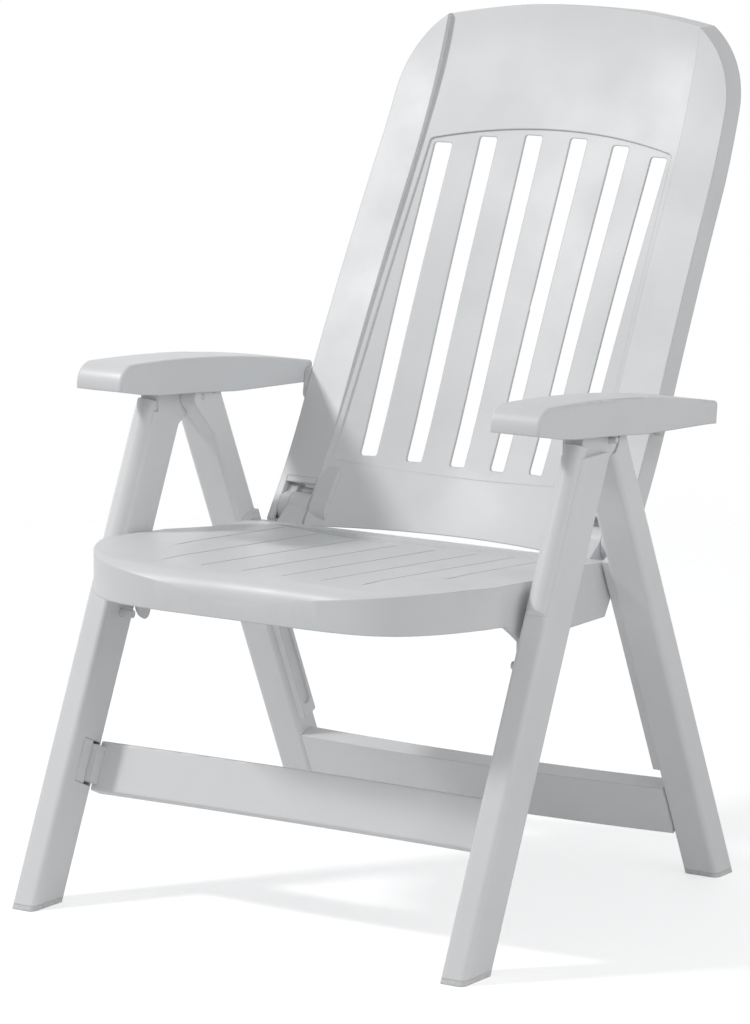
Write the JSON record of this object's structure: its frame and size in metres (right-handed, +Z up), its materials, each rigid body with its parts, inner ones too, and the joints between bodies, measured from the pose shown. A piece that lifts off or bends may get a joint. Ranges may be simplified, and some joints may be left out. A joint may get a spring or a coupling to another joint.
{
  "type": "folding armchair",
  "caption": "White moulded folding garden armchair with a slotted curved backrest, dished seat, crossed leg frames and notched arms that set the recline",
  "frame": {"origin": "on the floor, below the middle of the bounding box", "axes": "+Z up, the chair faces -Y, +X is the chair's own left; the chair is mirrored about X = 0"},
  "size_m": [0.678, 0.8224, 1.078],
  "materials": {
    "shell_resin": "white moulded resin, fine satin grain",
    "arm_resin": "white moulded resin, satin",
    "frame_resin": "white moulded resin, low gloss",
    "pin_resin": "white acetal, smooth",
    "foot_resin": "white moulded resin, scuffed soles"
  },
  "bodies": {
    "front_frame": {"front_leg_left": "frame_resin", "front_leg_right": "frame_resin", "front_rail": "frame_resin", "front_foot_cap_left": "foot_resin", "front_foot_cap_right": "foot_resin", "apex_pin_left": "pin_resin", "apex_pin_right": "pin_resin", "seat_pivot_pin_left": "pin_resin", "seat_pivot_pin_right": "pin_resin"},
    "rear_frame": {"rear_leg_left": "frame_resin", "rear_leg_right": "frame_resin", "rear_rail": "frame_resin", "rear_foot_cap_left": "foot_resin", "rear_foot_cap_right": "foot_resin"},
    "slider_pins": {"slider_pin_left": "pin_resin", "slider_pin_right": "pin_resin"},
    "seat": {"seat": "shell_resin"},
    "back_links": {"back_hinge_link_left": "pin_resin", "back_hinge_link_right": "pin_resin"},
    "backrest": {"backrest": "shell_resin"},
    "arm_link_left": {"arm_hinge_link_left": "pin_resin"},
    "arm_link_right": {"arm_hinge_link_right": "pin_resin"},
    "arm_left": {"armrest_left": "arm_resin"},
    "arm_right": {"armrest_right": "arm_resin"}
  },
  "joints": [
    {"name": "fold", "type": "hinge", "parent": "front_frame", "child": "rear_frame", "pos_m": [0, -0.07204, 0.603], "axis": [-1, 0, 0], "range_deg": [0, 28]},
    {"name": "pin_slide", "type": "slide", "parent": "rear_frame", "child": "slider_pins", "axis": [0, 0.4147, -0.91], "range_m": [0, 0.2707]},
    {"name": "seat_fold", "type": "hinge", "parent": "front_frame", "child": "seat", "pos_m": [0, -0.21904, 0.346], "axis": [-1, 0, 0], "range_deg": [0, 75.03]},
    {"name": "back_fold", "type": "hinge", "parent": "seat", "child": "back_links", "pos_m": [0, 0.07796, 0.441], "axis": [1, 0, 0], "range_deg": [0, 90.81]},
    {"name": "recline", "type": "hinge", "parent": "back_links", "child": "backrest", "pos_m": [0, 0.09194, 0.46173], "axis": [1, 0, 0], "range_deg": [0, 15.5]},
    {"name": "arm_fold_left", "type": "hinge", "parent": "backrest", "child": "arm_link_left", "pos_m": [0, 0.15171, 0.5804], "axis": [-1, 0, 0], "range_deg": [0, 165.79]},
    {"name": "arm_fold_right", "type": "hinge", "parent": "backrest", "child": "arm_link_right", "pos_m": [0, 0.15171, 0.5804], "axis": [-1, 0, 0], "range_deg": [0, 165.79]},
    {"name": "arm_recline_left", "type": "hinge", "parent": "arm_link_left", "child": "arm_left", "pos_m": [0, 0.15596, 0.604], "axis": [-1, 0, 0], "range_deg": [0, 17.66]},
    {"name": "arm_recline_right", "type": "hinge", "parent": "arm_link_right", "child": "arm_right", "pos_m": [0, 0.15596, 0.604], "axis": [-1, 0, 0], "range_deg": [0, 17.66]}
  ],
  "couplings": [
    {"joint": "pin_slide", "follows": "fold", "m_per_rad": 0.55291},
    {"joint": "seat_fold", "follows": "fold", "ratio": 2.676},
    {"joint": "back_fold", "follows": "fold", "ratio": 3.2396},
    {"joint": "arm_fold_left", "follows": "fold", "ratio": 5.9175},
    {"joint": "arm_fold_right", "follows": "fold", "ratio": 5.9175},
    {"joint": "arm_recline_left", "follows": "recline", "ratio": 1.133},
    {"joint": "arm_recline_right", "follows": "recline", "ratio": 1.133}
  ]
}
